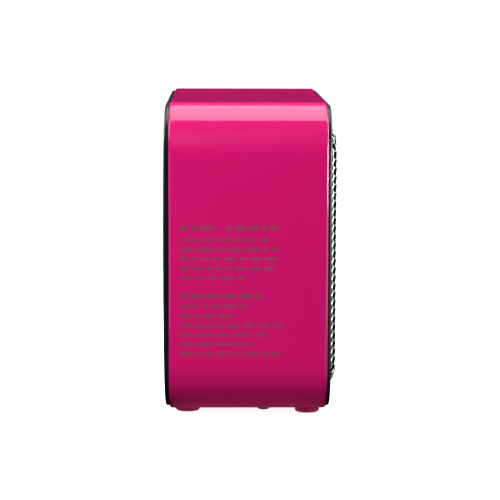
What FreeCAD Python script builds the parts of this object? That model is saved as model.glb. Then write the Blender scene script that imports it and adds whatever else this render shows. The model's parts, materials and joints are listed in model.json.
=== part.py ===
"""Desktop nail dust collector: a free-standing box fan unit with a removable honeycomb grille and filter.

Frame: +X to the user's left-to-right, -Y towards the user (the intake), +Z up.
The origin is on the table, below the middle of the unit.  All lengths are in millimetres.
"""
import FreeCAD
import Part

import math
import os
import re

import Sketcher
from FreeCAD import Placement, Rotation, Vector

DIMENSIONS = {
    # Housing band: a rounded-rectangle tube that runs front to back.
    "band_width": 284, "band_height": 225, "band_depth": 114.5, "band_corner": 37.5,
    "band_wall": 3, "band_fillet": 2, "foot_height": 4,
    # How far the end caps and the grille stand beyond the band.
    "cap_inset": 1.8, "bezel_proud": 2.5, "grille_proud": 4.6, "crown_rise": 4.1, "crown_edge": 2.9,
    "cap_fillet": 1.6, "insert_wall": 2.5, "insert_depth": 8.5,
    # Clearances of fits and of cut-outs, and how far joined features run into each other.
    "slip": 0.1, "fit_gap": 0.2, "screw_play": 0.3, "overlap": 0.5,
    # Grille: a dished steel honeycomb on a channel frame.
    "grille_width": 247, "grille_height": 188, "grille_corner": 20, "grille_gap": 0.3,
    "grille_slope": 6.5, "mesh_gauge": 1.2, "mesh_foot": 1.9, "mesh_lip": 0.7, "frame_wall": 2,
    "frame_flange": 7, "flange_gauge": 1.5, "hex_pitch": 12, "hex_rib": 1.2, "hex_border": 2.5,
    # Ledge inside the bezel, and the magnets set in it.
    "ledge_set_back": 5.5, "ledge_gauge": 2, "pocket_wall": 2, "magnet_radius": 3, "magnet_gauge": 1.5,
    "magnet_spread": 75,
    # Filter cartridge.
    "filter_width": 228, "filter_height": 169, "filter_corner": 6, "filter_depth": 18, "filter_wall": 5,
    "filter_play": 1.5, "filter_inset": 0.6, "pleat_pitch": 8, "pleat_depth": 13, "media_gauge": 1,
    "gasket_gauge": 1.9, "gasket_band": 4, "gasket_inset": 0.5,
    "grip_width": 60, "grip_height": 12, "grip_corner": 3, "grip_gauge": 1.5,
    "grip_slot_width": 48, "grip_slot_height": 4, "grip_slot_corner": 1.5, "grip_slot_lift": 1,
    # Bulkhead that carries the fans.
    "bulkhead_gauge": 3, "well_wall": 2, "well_depth": 20.5, "well_play": 0.5, "boss_radius": 4,
    "boss_x": 60, "boss_z": 99, "post_radius": 4, "post_x": 122, "post_z": 95,
    "lug_width": 11, "lug_length": 30, "lug_gauge": 5,
    # The two axial fans: casing, motor base and struts.
    "fan_size": 120, "fan_depth": 25, "fan_offset": 62, "fan_corner": 8, "fan_bore": 58,
    "fan_hole_spread": 52.5, "fan_hole_radius": 2.2, "motor_base": 20, "motor_plate": 3.5, "motor_skin": 1,
    "strut_width": 6, "strut_root": 1.5, "strut_count": 4,
    # Motor: bearings, shaft, magnet ring and stator.
    "bearing_tube": 5, "bearing_outer": 4, "bearing_gauge": 3, "bearing_set_in": 0.5,
    "bearing_front_gap": 4,
    "shaft_radius": 1.5, "shaft_clearance": 0.05, "shaft_set_in": 0.5, "shaft_end_gap": 2,
    "cup_radius": 20, "cup_wall": 1.5, "cup_front": 4, "cup_depth": 16.5, "hub_boss_radius": 3.5,
    "hub_boss_length": 1.8, "magnet_ring": 1.4, "magnet_ring_length": 11.5,
    "stator_radius": 16.2, "stator_set_in": 2, "stator_stack": 10.5,
    "slot_width": 3, "slot_root": 2.5, "slot_count": 6,
    # Blades and outlet guard.
    "blade_root": 8, "root_chord": 19, "root_gauge": 2.4, "root_lean": 42,
    "blade_tip": 54, "tip_chord": 29, "tip_gauge": 1.4, "tip_lean": 60, "blade_count": 7,
    "guard_wire": 0.9, "guard_rings": 3, "guard_first": 18, "guard_step": 13, "guard_eye": 3.1,
    "guard_weld": 0.72, "guard_leg_short": 0.6,
    # Rear panel: louvres and the recessed electrical tray.
    "louvre_width": 104, "louvre_height": 4, "louvre_corner": 1.8, "louvre_pitch": 9, "louvre_count": 12,
    "tray_x": 80, "tray_z": 36, "tray_width": 62, "tray_height": 30, "tray_corner": 3, "tray_depth": 4.75,
    "tray_wall": 2,
    # Mains inlet.
    "inlet_x": 70, "inlet_width": 24, "inlet_height": 14, "inlet_length": 15,
    "inlet_flange": 3, "inlet_corner": 2, "flange_height": 1.5,
    "socket_width": 19, "socket_height": 9, "socket_corner": 4.3, "socket_depth": 12,
    "pin_radius": 1.2, "pin_spread": 4.3, "pin_length": 9,
    # Power switch: the rocker turns on a pin in the side walls of its housing.
    "switch_x": 98, "switch_width": 13, "switch_height": 20.4, "switch_length": 15, "switch_cavity": 10,
    "switch_flange": 1.3, "switch_corner": 1, "switch_wall": 1,
    "rocker_width": 10.8, "rocker_length": 16, "rocker_back": 1.8, "rocker_dip": 3.8, "rocker_rise": 5.2,
    "rocker_taper": 0.6, "rocker_tilt": 10, "rocker_clear": 0.25, "rocker_sink": 3.4,
    "pivot_radius": 1, "pivot_reach": 0.95,
    # Power board on the floor of the housing.
    "board_width": 90, "board_depth": 46, "board_gauge": 1.6, "board_lift": 9, "board_y": 24,
    "board_margin": 5, "standoff_radius": 3, "board_hole": 1.6, "stub_proud": 1.5,
    # Components on the board, placed from its middle.
    "core_x": 8, "core_width": 26, "core_depth": 24, "core_corner": 2, "core_height": 20,
    "coil_width": 19, "coil_depth": 30, "coil_corner": 3, "coil_height": 12, "coil_lift": 4,
    "can_x": -24, "can_back": 8, "can_ahead": 12, "can_radius": 6, "can_height": 18,
    "small_can_x": 29, "small_can_y": 10, "small_can_radius": 4,
    "sink_x": -11, "sink_gauge": 3, "sink_length": 30, "sink_height": 22,
    "fin_length": 5, "fin_gauge": 1.2, "fin_run": 28, "fin_count": 8,
    "terminal_x": 36, "terminal_back": 7.5,
    "terminal_width": 9, "terminal_length": 15, "terminal_height": 9,
    # Leads: where they leave each piece and how far they run before they turn.
    "lead_radius": 1.1, "lead_gap": 1.43, "lead_in": 3, "fan_lead_set_in": 6, "lead_drop": 14,
    "mains_strand": 5, "inlet_tab_x": 4, "switch_tab_x": 3, "switch_tab_z": 4,
    "lead_run": 9, "long_lead_run": 22,
    # Feet and fasteners.
    "foot_radius": 9, "foot_round": 1, "foot_set_back": 13, "front_foot_x": 100, "rear_foot_x": 95,
    "stem_radius": 3, "stem_length": 4.5,
    "base_screw_x": 99, "base_screw_y": -10.5,
    "base_head_radius": 4.75, "base_head_height": 2.9, "base_head_round": 1.4,
    "base_shank": 2, "base_recess": 1.6,
    "screw_head": 3.2, "screw_head_height": 2, "screw_shank": 1.5, "screw_recess": 1, "screw_reach": 9,
    "head_proud": 0.4,
}

# Places along Y, from the intake to the back.
TOTAL_DEPTH = "(band_depth + bezel_proud + grille_proud + crown_rise)"
GRILLE_FRONT = f"(-{TOTAL_DEPTH} / 2)"
BEZEL_FRONT = f"({GRILLE_FRONT} + grille_proud)"
BAND_FRONT = f"({BEZEL_FRONT} + bezel_proud)"
BAND_REAR = f"({BAND_FRONT} + band_depth)"
LEDGE_FRONT = f"({BEZEL_FRONT} + ledge_set_back)"
LEDGE_REAR = f"({LEDGE_FRONT} + ledge_gauge)"
FILTER_FRONT = f"({LEDGE_REAR} + filter_inset)"
BULKHEAD_FRONT = f"({FILTER_FRONT} + filter_depth + gasket_gauge + slip)"
FAN_FRONT = f"({BULKHEAD_FRONT} + bulkhead_gauge)"
FAN_REAR = f"({FAN_FRONT} + fan_depth)"
TRAY_FACE = f"({BAND_REAR} + crown_edge - tray_depth)"
TRAY_BACK = f"({TRAY_FACE} - tray_wall)"
ROCKER_SET_BACK = "(rocker_sink - flange_height)"
ROCKER_PIVOT = f"({TRAY_FACE} - {ROCKER_SET_BACK})"
REAR_SCREW_SEAT = f"({BAND_REAR} + crown_edge - screw_head_height + head_proud)"

# Places along the axis of a fan, from its own intake face.
BEARING_FRONT = "(cup_front + bearing_front_gap)"
BEARING_REAR = "(fan_depth - motor_skin - bearing_gauge)"

# Heights, and outlines shared by pieces that nest in each other.
MIDDLE = "(foot_height + band_height / 2)"
FLOOR = "(foot_height + band_wall)"
BOARD_UNDER = f"({FLOOR} + board_lift)"
BOARD_TOP = f"({BOARD_UNDER} + board_gauge)"
BAND = ("band_width", "band_height", "band_corner")
CAP = ("band_width - 2 * cap_inset", "band_height - 2 * cap_inset", "band_corner - cap_inset")
INSIDE = ("band_width - 2 * band_wall", "band_height - 2 * band_wall", "band_corner - band_wall")
INSERT = tuple(f"{size} - {slip}" for size, slip in zip(INSIDE, ("2 * slip", "2 * slip", "slip")))
GRILLE = ("grille_width", "grille_height", "grille_corner")
FILTER = ("filter_width", "filter_height", "filter_corner")

# Two points nearer than this are the same point.
NEAR = 0.005

doc = FreeCAD.newDocument("DustCollector")
sheet = doc.addObject("Spreadsheet::Sheet", "Dims")
subparts = []


def fill_sheet():
    """Write each driving dimension in its own row and name its cell."""
    for row, (alias, number) in enumerate(DIMENSIONS.items(), start=1):
        sheet.set(f"A{row}", alias.replace("_", " "))
        sheet.set(f"B{row}", str(number))
        sheet.setAlias(f"B{row}", alias)
    doc.recompute()


def spelled(expression):
    """Spell every alias through the sheet's name, so that any object can read it."""
    def with_sheet(word):
        return f"Dims.{word[0]}" if word[0] in DIMENSIONS else word[0]

    return re.sub(r"[a-z]\w*", with_sheet, expression)


def value(expression):
    return float(sheet.evalExpression(spelled(expression)))


def bind(thing, name, expression):
    thing.setExpression(name, spelled(expression))


def grown(outline, by):
    """A rounded outline moved outwards by a distance, or inwards by a negative one."""
    width, height, corner = outline
    return (f"({width}) + 2 * ({by})", f"({height}) + 2 * ({by})", f"({corner}) + ({by})")


def keep(piece, label):
    piece.Label = label
    subparts.append(piece)
    return piece


# ---------------------------------------------------------------- PartDesign helpers

def new_body(label, at=None):
    """A body for one sub-part; `at` places it by expressions for x, y and z."""
    body = keep(doc.addObject("PartDesign::Body", label), label)
    for axis, expression in zip("xyz", at or ()):
        bind(body, f"Placement.Base.{axis}", expression)
    return body


def sketch_on(body, role, offset, turn=0.0):
    """A sketch on one of the body's own planes, moved along the plane's normal and turned about it."""
    sketch = body.newObject("Sketcher::SketchObject", "Outline")
    plane = next(item for item in body.Origin.OriginFeatures if item.Role == role)
    sketch.AttachmentSupport = [(plane, "")]
    sketch.MapMode = "FlatFace"
    sketch.AttachmentOffset = Placement(Vector(0, 0, 0), Rotation(Vector(0, 0, 1), turn))
    bind(sketch, "AttachmentOffset.Base.z", offset)
    return sketch


def front_sketch(body, y):
    """Sketch x is X and sketch y is Z, at the given Y."""
    return sketch_on(body, "XZ_Plane", f"-({y})")


def plan_sketch(body, z):
    return sketch_on(body, "XY_Plane", z)


def limit(sketch, constraint, expression):
    index = sketch.addConstraint(constraint)
    bind(sketch, f"Constraints[{index}]", expression)


def tie(sketch, way, geometry, point, distance):
    """Hold a point of the sketch at a distance from the sketch's origin, along "X" or "Y"."""
    limit(sketch, Sketcher.Constraint(f"Distance{way}", -1, 1, geometry, point, value(distance)), distance)


def place(sketch, geometry, point, x, y):
    tie(sketch, "X", geometry, point, x)
    tie(sketch, "Y", geometry, point, y)


def draw_circle(sketch, radius, x="0", y="0"):
    centre = Vector(value(x), value(y), 0)
    index = sketch.addGeometry(Part.Circle(centre, Vector(0, 0, 1), value(radius)), False)
    limit(sketch, Sketcher.Constraint("Radius", index, value(radius)), radius)
    place(sketch, index, 3, x, y)


def draw_polygon(sketch, corners):
    """A closed outline of straight lines whose corners are pairs of expressions."""
    points = [Vector(value(x), value(y), 0) for x, y in corners]
    first = sketch.GeometryCount
    count = len(points)
    for step in range(count):
        sketch.addGeometry(Part.LineSegment(points[step], points[(step + 1) % count]), False)
    for step, (x, y) in enumerate(corners):
        line, following = first + step, first + (step + 1) % count
        sketch.addConstraint(Sketcher.Constraint("Coincident", line, 2, following, 1))
        place(sketch, line, 1, x, y)


def draw_rectangle(sketch, width, height, x="0", y="0"):
    left, right = f"({x}) - ({width}) / 2", f"({x}) + ({width}) / 2"
    low, high = f"({y}) - ({height}) / 2", f"({y}) + ({height}) / 2"
    draw_polygon(sketch, [(left, low), (right, low), (right, high), (left, high)])


def draw_rounded(sketch, outline, x="0", y="0"):
    """A rectangle with tangent corner arcs, centred on x, y."""
    width, height, corner = outline
    radius = value(corner)
    half_x, half_y = value(width) / 2, value(height) / 2
    centre = Vector(value(x), value(y), 0)
    first = sketch.GeometryCount
    for turn in range(4):
        reach_x, reach_y = (half_x, half_y) if turn % 2 == 0 else (half_y, half_x)
        spin = Rotation(Vector(0, 0, 1), 90 * turn)
        start = centre + spin.multVec(Vector(radius - reach_x, -reach_y, 0))
        end = centre + spin.multVec(Vector(reach_x - radius, -reach_y, 0))
        sketch.addGeometry(Part.LineSegment(start, end), False)
    for turn in range(4):
        reach_x, reach_y = (half_x, half_y) if turn % 2 == 0 else (half_y, half_x)
        spin = Rotation(Vector(0, 0, 1), 90 * turn)
        middle = centre + spin.multVec(Vector(reach_x - radius, radius - reach_y, 0))
        circle = Part.Circle(middle, Vector(0, 0, 1), radius)
        arc = Part.ArcOfCircle(circle, math.radians(90 * turn - 90), math.radians(90 * turn))
        sketch.addGeometry(arc, False)
    for turn in range(4):
        side, arc, following = first + turn, first + 4 + turn, first + (turn + 1) % 4
        sketch.addConstraint(Sketcher.Constraint("Tangent", side, 2, arc, 1))
        sketch.addConstraint(Sketcher.Constraint("Tangent", arc, 2, following, 1))
        sketch.addConstraint(Sketcher.Constraint("Horizontal" if turn % 2 == 0 else "Vertical", side))
    for turn in range(1, 4):
        sketch.addConstraint(Sketcher.Constraint("Equal", first + 4, first + 4 + turn))
    limit(sketch, Sketcher.Constraint("Radius", first + 4, radius), corner)
    tie(sketch, "Y", first, 1, f"({y}) - ({height}) / 2")
    tie(sketch, "X", first + 1, 1, f"({x}) + ({width}) / 2")
    tie(sketch, "Y", first + 2, 1, f"({y}) + ({height}) / 2")
    tie(sketch, "X", first + 3, 1, f"({x}) - ({width}) / 2")


def add_feature(kind, sketch, length, way=1):
    """Pad or Pocket the sketch towards +X, +Y or +Z, or the other way when `way` is -1."""
    body = sketch.getParentGeoFeatureGroup()
    feature = body.newObject(f"PartDesign::{kind}", kind)
    feature.Profile = sketch
    along_normal = (way > 0) != (sketch.AttachmentSupport[0][0].Role == "XZ_Plane")
    feature.Reversed = along_normal == (kind == "Pocket")
    bind(feature, "Length", length)
    doc.recompute()
    return feature


def pad(sketch, length, way=1):
    return add_feature("Pad", sketch, length, way)


def pocket(sketch, length, way=1):
    return add_feature("Pocket", sketch, length, way)


def repeat(body, features, kind, axis_role, **settings):
    """Repeat features with a linear or polar pattern along or about one of the body's axes."""
    pattern = body.newObject(f"PartDesign::{kind}", kind)
    pattern.Originals = features
    axis = next(item for item in body.Origin.OriginFeatures if item.Role == axis_role)
    setattr(pattern, "Direction" if kind == "LinearPattern" else "Axis", (axis, [""]))
    for name, expression in settings.items():
        bind(pattern, name, expression)
    body.Tip = pattern
    doc.recompute()
    return pattern


def edges_at(shape, test):
    """Names of the edges whose every point satisfies the test."""
    names = []
    for number, edge in enumerate(shape.Edges, start=1):
        samples = edge.discretize(5)
        if all(test(point) for point in samples):
            names.append(f"Edge{number}")
    return names


def fillet(body, radius, test):
    base = body.Tip
    feature = body.newObject("PartDesign::Fillet", "Fillet")
    feature.Base = (base, edges_at(base.Shape, test))
    bind(feature, "Radius", radius)
    doc.recompute()
    return feature


def ring_pad(body, y, outer, inner, length, z=MIDDLE):
    """A rounded frame: the space between two rounded outlines, from y towards +Y."""
    sketch = front_sketch(body, y)
    draw_rounded(sketch, outer, "0", z)
    draw_rounded(sketch, inner, "0", z)
    return pad(sketch, length)


def round_pad(body, y, radii, length, places=(("0", "0"),), way=1):
    """Discs, or rings when a second radius is given, at each place."""
    sketch = front_sketch(body, y)
    for x, z in places:
        for radius in radii:
            draw_circle(sketch, radius, x, z)
    return pad(sketch, length, way)


def round_pocket(body, y, radius, length, places=(("0", "0"),), way=1):
    sketch = front_sketch(body, y)
    for x, z in places:
        draw_circle(sketch, radius, x, z)
    return pocket(sketch, length, way)


def four(x, z, middle_x="0", middle_z=MIDDLE):
    """Four places, mirrored left-right and up-down about a middle."""
    return [(f"({middle_x}) {a} ({x})", f"({middle_z}) {b} ({z})") for a in "-+" for b in "-+"]


# ---------------------------------------------------------------- housing and end caps

def lies_on(outline, point):
    """True when a point, seen from the front, lies on a rounded outline about the unit's middle."""
    width, height, corner = [value(size) for size in outline]
    reach_x = width / 2 - abs(point.x)
    reach_z = height / 2 - abs(point.z - value(MIDDLE))
    if reach_x < corner and reach_z < corner:
        return abs(math.hypot(corner - reach_x, corner - reach_z) - corner) < NEAR
    return abs(min(reach_x, reach_z)) < NEAR


def at(y, point):
    return abs(point.y - value(y)) < NEAR


def housing_band():
    body = new_body("housing_band")
    ring_pad(body, BAND_FRONT, BAND, INSIDE, "band_depth")
    stems = plan_sketch(body, "foot_height")
    for x, y in foot_places():
        draw_circle(stems, "stem_radius + slip", x, y)
    for x in base_screw_xs():
        draw_circle(stems, "base_shank + fit_gap", x, "base_screw_y")
    pocket(stems, "band_wall")

    def is_rim(point):
        return lies_on(BAND, point) and (at(BAND_FRONT, point) or at(BAND_REAR, point))

    fillet(body, "band_fillet", is_rim)


def front_bezel():
    body = new_body("front_bezel")
    opening = grown(GRILLE, "grille_gap")
    wall = grown(opening, "pocket_wall")
    ring_pad(body, BEZEL_FRONT, CAP, opening, "bezel_proud")
    fillet(body, "cap_fillet", lambda point: lies_on(CAP, point) and at(BEZEL_FRONT, point))
    ring_pad(body, BAND_FRONT, INSERT, grown(INSERT, "-insert_wall"), "insert_depth")
    ring_pad(body, BAND_FRONT, wall, opening, "ledge_set_back + ledge_gauge - bezel_proud")
    ring_pad(body, LEDGE_FRONT, grown(opening, "overlap"), grown(FILTER, "filter_play"), "ledge_gauge")
    bosses = four("boss_x", "boss_z")
    round_pad(body, BAND_FRONT, ["boss_radius"], f"{BULKHEAD_FRONT} - {BAND_FRONT}", bosses)
    round_pocket(body, BULKHEAD_FRONT, "screw_shank", "screw_reach", bosses, way=-1)
    round_pocket(body, LEDGE_FRONT, "magnet_radius", "magnet_gauge", magnet_places())


def magnet_places():
    height = "(filter_height / 2 + filter_play + grille_height / 2 + grille_gap) / 2"
    return four("magnet_spread", height)


def grille_magnets():
    body = new_body("grille_magnets")
    round_pad(body, LEDGE_FRONT, ["magnet_radius"], "magnet_gauge", magnet_places())


def rear_panel():
    body = new_body("rear_panel")
    plate = front_sketch(body, BAND_REAR)
    draw_rounded(plate, CAP, "0", MIDDLE)
    pad(plate, "crown_rise")
    cut_crown(body)
    fillet(body, "cap_fillet", lambda point: lies_on(CAP, point) and point.y > value(BAND_REAR) + NEAR)
    ring_pad(body, f"{BAND_REAR} - insert_depth", INSERT, grown(INSERT, "-insert_wall"), "insert_depth")
    tray = ("tray_width", "tray_height", "tray_corner")
    housing = front_sketch(body, TRAY_BACK)
    draw_rounded(housing, grown(tray, "tray_wall"), "tray_x", "tray_z")
    pad(housing, f"{BAND_REAR} - {TRAY_BACK}")
    recess = front_sketch(body, TRAY_FACE)
    draw_rounded(recess, tray, "tray_x", "tray_z")
    pocket(recess, "crown_rise + tray_depth")
    windows = front_sketch(body, TRAY_BACK)
    for name in ("inlet", "switch"):
        width, height = f"{name}_width + 2 * fit_gap", f"{name}_height + 2 * fit_gap"
        draw_rectangle(windows, width, height, f"{name}_x", "tray_z")
    pocket(windows, "tray_wall")
    slots = front_sketch(body, BAND_REAR)
    lowest = f"{MIDDLE} - louvre_pitch * (louvre_count - 1) / 2"
    for side in "-+":
        draw_rounded(slots, ("louvre_width", "louvre_height", "louvre_corner"), f"{side}fan_offset", lowest)
    cut = pocket(slots, "crown_rise")
    repeat(body, [cut], "LinearPattern", "Z_Axis", Length="louvre_pitch * (louvre_count - 1)",
           Occurrences="louvre_count")
    posts = four("post_x", "post_z")
    round_pocket(body, BAND_REAR, "screw_shank + screw_play", "crown_rise", posts)
    round_pocket(body, REAR_SCREW_SEAT, "screw_head + screw_play", "crown_rise", posts)


def cut_crown(body):
    """Shave the plate so that its back bulges: low at the top and bottom edges and high in the middle."""
    rise, edge = value("crown_rise"), value("crown_edge")
    half = value("band_height / 2 - cap_inset")
    radius = (half ** 2 + (rise - edge) ** 2) / (2 * (rise - edge))
    crown_y = value(BAND_REAR) + rise
    centre = Vector(crown_y - radius, value(MIDDLE), 0)
    sketch = sketch_on(body, "YZ_Plane", "-band_width")
    circle = Part.Circle(centre, Vector(0, 0, 1), radius)
    outer_circle = Part.Circle(centre, Vector(0, 0, 1), radius + 2 * rise)
    spread = math.asin(value("band_height / 2") / radius)
    near, far = [Part.ArcOfCircle(item, -spread, spread) for item in (circle, outer_circle)]
    sketch.addGeometry([near, far, Part.LineSegment(near.EndPoint, far.EndPoint),
                        Part.LineSegment(near.StartPoint, far.StartPoint)], False)
    for first, end, second, start in ((0, 2, 2, 1), (2, 2, 1, 2), (0, 1, 3, 1), (3, 2, 1, 1)):
        sketch.addConstraint(Sketcher.Constraint("Coincident", first, end, second, start))
    sketch.addConstraint(Sketcher.Constraint("Coincident", 0, 3, 1, 3))
    half_text = "(band_height / 2 - cap_inset)"
    radius_text = f"({half_text}^2 + (crown_rise - crown_edge)^2) / (2 * (crown_rise - crown_edge))"
    limit(sketch, Sketcher.Constraint("Radius", 0, radius), radius_text)
    limit(sketch, Sketcher.Constraint("Radius", 1, radius + 2 * rise), f"{radius_text} + 2 * crown_rise")
    place(sketch, 0, 3, f"{BAND_REAR} + crown_rise - {radius_text}", MIDDLE)
    pocket(sketch, "2 * band_width")


def foot_places():
    front = [(f"{side}front_foot_x", f"{BAND_FRONT} + foot_set_back") for side in "-+"]
    rear = [(f"{side}rear_foot_x", f"{BAND_REAR} - foot_set_back") for side in "-+"]
    return front + rear


def base_screw_xs():
    return [f"{side}base_screw_x" for side in "-+"]


def feet():
    names = ("foot_front_left", "foot_front_right", "foot_rear_left", "foot_rear_right")
    for name, (x, y) in zip(names, foot_places()):
        body = new_body(name, at=(x, y, "0"))
        disc = plan_sketch(body, "0")
        draw_circle(disc, "foot_radius")
        pad(disc, "foot_height")
        fillet(body, "foot_round", lambda point: abs(point.z) < NEAR)
        stem = plan_sketch(body, "foot_height")
        draw_circle(stem, "stem_radius")
        pad(stem, "stem_length")


# ---------------------------------------------------------------- grille

def dish(owner, base, top, low, high, kind):
    """A loft between two rounded outlines, used to add or to remove material."""
    sections = []
    for outline, y in ((base, low), (top, high)):
        sketch = front_sketch(owner, y)
        draw_rounded(sketch, outline, "0", MIDDLE)
        sections.append(sketch)
    loft = owner.newObject(f"PartDesign::{kind}", kind)
    loft.Profile = sections[0]
    loft.Sections = sections[1:]
    loft.Ruled = True
    doc.recompute()


def hexagon_prisms():
    """One prism for each hole of the honeycomb: vertical columns, every other one half a step up."""
    pitch, rib = value("hex_pitch"), value("hex_rib")
    side = pitch / math.sqrt(3)
    hole = (pitch - rib) / math.sqrt(3)
    border = value("hex_border")
    half_x, half_z = value("grille_width / 2") - border, value("grille_height / 2") - border
    corner = value("grille_corner") - border
    middle = value(MIDDLE)
    start_y = value(GRILLE_FRONT) - 1
    depth = Vector(0, value("grille_proud") + 2, 0)
    columns = int(half_x / (1.5 * side))
    rows = int(half_z / pitch) + 1
    prisms = []
    for column in range(-columns, columns + 1):
        x = 1.5 * side * column
        lift = pitch / 2 if column % 2 else 0
        for row in range(-rows, rows + 1):
            z = pitch * row + lift
            past_x = max(abs(x) + hole - (half_x - corner), 0)
            past_z = max(abs(z) + hole - (half_z - corner), 0)
            if math.hypot(past_x, past_z) > corner:
                continue
            ring = [Vector(x + hole * math.cos(math.radians(60 * turn)), start_y,
                           middle + z + hole * math.sin(math.radians(60 * turn))) for turn in range(6)]
            prisms.append(Part.Face(Part.makePolygon(ring + ring[:1])).extrude(depth))
    return Part.makeCompound(prisms)


def grille_mesh():
    shell = doc.addObject("PartDesign::Body", "GrilleShell")
    plateau = grown(GRILLE, "-grille_slope")
    dish(shell, GRILLE, plateau, BEZEL_FRONT, GRILLE_FRONT, "AdditiveLoft")
    dish(shell, grown(GRILLE, "-mesh_foot"), grown(plateau, "-mesh_lip"),
         BEZEL_FRONT, f"{GRILLE_FRONT} + mesh_gauge", "SubtractiveLoft")
    holes = doc.addObject("Part::Feature", "HoneycombHoles")
    holes.Shape = hexagon_prisms()
    mesh = keep(doc.addObject("Part::Cut", "grille_mesh"), "grille_mesh")
    mesh.Base = shell
    mesh.Tool = holes
    doc.recompute()


def grille_frame():
    body = new_body("grille_frame")
    ring_pad(body, BEZEL_FRONT, GRILLE, grown(GRILLE, "-frame_wall"), "ledge_set_back - slip")
    rim, opening = grown(GRILLE, "-overlap"), grown(GRILLE, "-frame_flange")
    ring_pad(body, f"{LEDGE_FRONT} - slip - flange_gauge", rim, opening, "flange_gauge")


# ---------------------------------------------------------------- filter cartridge

def filter_frame():
    body = new_body("filter_frame")
    ring_pad(body, FILTER_FRONT, FILTER, grown(FILTER, "-filter_wall"), "filter_depth")


def filter_media():
    """Pleated sheet: one V-shaped pleat repeated across the frame."""
    body = new_body("filter_media")
    room = "(filter_width - 2 * filter_wall)"
    count = f"floor({room} / pleat_pitch)"
    left = f"(-{count} * pleat_pitch / 2)"
    near = f"({FILTER_FRONT} + (filter_depth - pleat_depth) / 2)"
    far = f"({near} + pleat_depth - media_gauge)"
    pleat = sketch_on(body, "XY_Plane", f"{MIDDLE} - filter_height / 2 + filter_wall")
    draw_polygon(pleat, [(left, near), (f"{left} + pleat_pitch / 2", far), (f"{left} + pleat_pitch", near),
                         (f"{left} + pleat_pitch", f"{near} + media_gauge"),
                         (f"{left} + pleat_pitch / 2", f"{far} + media_gauge"),
                         (left, f"{near} + media_gauge")])
    first = pad(pleat, "filter_height - 2 * filter_wall")
    run = f"pleat_pitch * ({count} - 1)"
    repeat(body, [first], "LinearPattern", "X_Axis", Length=run, Occurrences=count)


def filter_gasket():
    body = new_body("filter_gasket")
    outer = grown(FILTER, "-gasket_inset")
    ring_pad(body, f"{FILTER_FRONT} + filter_depth", outer, grown(outer, "-gasket_band"), "gasket_gauge")


def filter_grip():
    """Folding pull on the front of the cartridge's lower rail, drawn lying flat against the rail."""
    body = new_body("filter_grip")
    rail = f"({MIDDLE} - filter_height / 2 + grip_height / 2)"
    plate = front_sketch(body, f"{FILTER_FRONT} - grip_gauge")
    draw_rounded(plate, ("grip_width", "grip_height", "grip_corner"), "0", rail)
    slot = ("grip_slot_width", "grip_slot_height", "grip_slot_corner")
    draw_rounded(plate, slot, "0", f"{rail} + grip_slot_lift")
    pad(plate, "grip_gauge")


# ---------------------------------------------------------------- bulkhead and posts

def fan_bulkhead():
    body = new_body("fan_bulkhead")
    plate = front_sketch(body, BULKHEAD_FRONT)
    draw_rounded(plate, INSERT, "0", MIDDLE)
    for side in "-+":
        draw_circle(plate, "fan_bore", f"{side}fan_offset", MIDDLE)
    pad(plate, "bulkhead_gauge")
    inner = grown(FILTER, "well_play")
    ring_pad(body, f"{BULKHEAD_FRONT} - well_depth", grown(inner, "well_wall"), inner, "well_depth")
    lugs = plan_sketch(body, FLOOR)
    for x in base_screw_xs():
        draw_rectangle(lugs, "lug_width", "lug_length", x, f"{FAN_FRONT} + lug_length / 2 - overlap")
    pad(lugs, "lug_gauge")
    taps = plan_sketch(body, FLOOR)
    for x in base_screw_xs():
        draw_circle(taps, "base_shank", x, "base_screw_y")
    pocket(taps, "lug_gauge")
    holes = fan_screw_places() + four("boss_x", "boss_z") + four("post_x", "post_z")
    round_pocket(body, BULKHEAD_FRONT, "screw_shank", "bulkhead_gauge", holes)


def fan_screw_places():
    left, right = [four("fan_hole_spread", "fan_hole_spread", f"{side}fan_offset") for side in "-+"]
    return left + right


def rear_posts():
    body = new_body("rear_posts")
    places = four("post_x", "post_z")
    round_pad(body, FAN_FRONT, ["post_radius"], f"{BAND_REAR} - {FAN_FRONT}", places)
    round_pocket(body, FAN_FRONT, "screw_shank", "screw_reach", places)
    round_pocket(body, BAND_REAR, "screw_shank", "screw_reach", places, way=-1)


# ---------------------------------------------------------------- fans

def at_fan(side):
    return (f"{side}fan_offset", FAN_FRONT, MIDDLE)


def fan_frame(name, side):
    body = new_body(f"{name}_frame", at_fan(side))
    casing = front_sketch(body, "0")
    draw_rounded(casing, ("fan_size", "fan_size", "fan_corner"))
    draw_circle(casing, "fan_bore")
    pad(casing, "fan_depth")
    plate_y = "fan_depth - motor_plate"
    round_pad(body, plate_y, ["motor_base"], "motor_plate")
    strut = front_sketch(body, plate_y)
    span, middle = "fan_bore - motor_base + 2 * strut_root", "(fan_bore + motor_base) / 2"
    draw_rectangle(strut, span, "strut_width", middle)
    arm = pad(strut, "motor_plate")
    repeat(body, [arm], "PolarPattern", "Y_Axis", Occurrences="strut_count")
    round_pad(body, BEARING_FRONT, ["bearing_tube", "bearing_outer"], f"{plate_y} - {BEARING_FRONT}")
    round_pocket(body, plate_y, "bearing_outer", "motor_plate - motor_skin")
    holes = four("fan_hole_spread", "fan_hole_spread", middle_z="0")
    round_pocket(body, "0", "fan_hole_radius", "fan_depth", holes)


def fan_rotor(name, side):
    body = new_body(f"{name}_rotor", at_fan(side))
    round_pad(body, "cup_front", ["cup_radius"], "cup_depth")
    loft = fan_blade(body)
    repeat(body, [loft], "PolarPattern", "Y_Axis", Occurrences="blade_count")
    round_pocket(body, "cup_front + cup_wall", "cup_radius - cup_wall", "fan_depth")
    round_pad(body, "cup_front + cup_wall", ["hub_boss_radius"], "hub_boss_length")
    round_pocket(body, "cup_front + shaft_set_in", "shaft_radius", "cup_depth")


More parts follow.
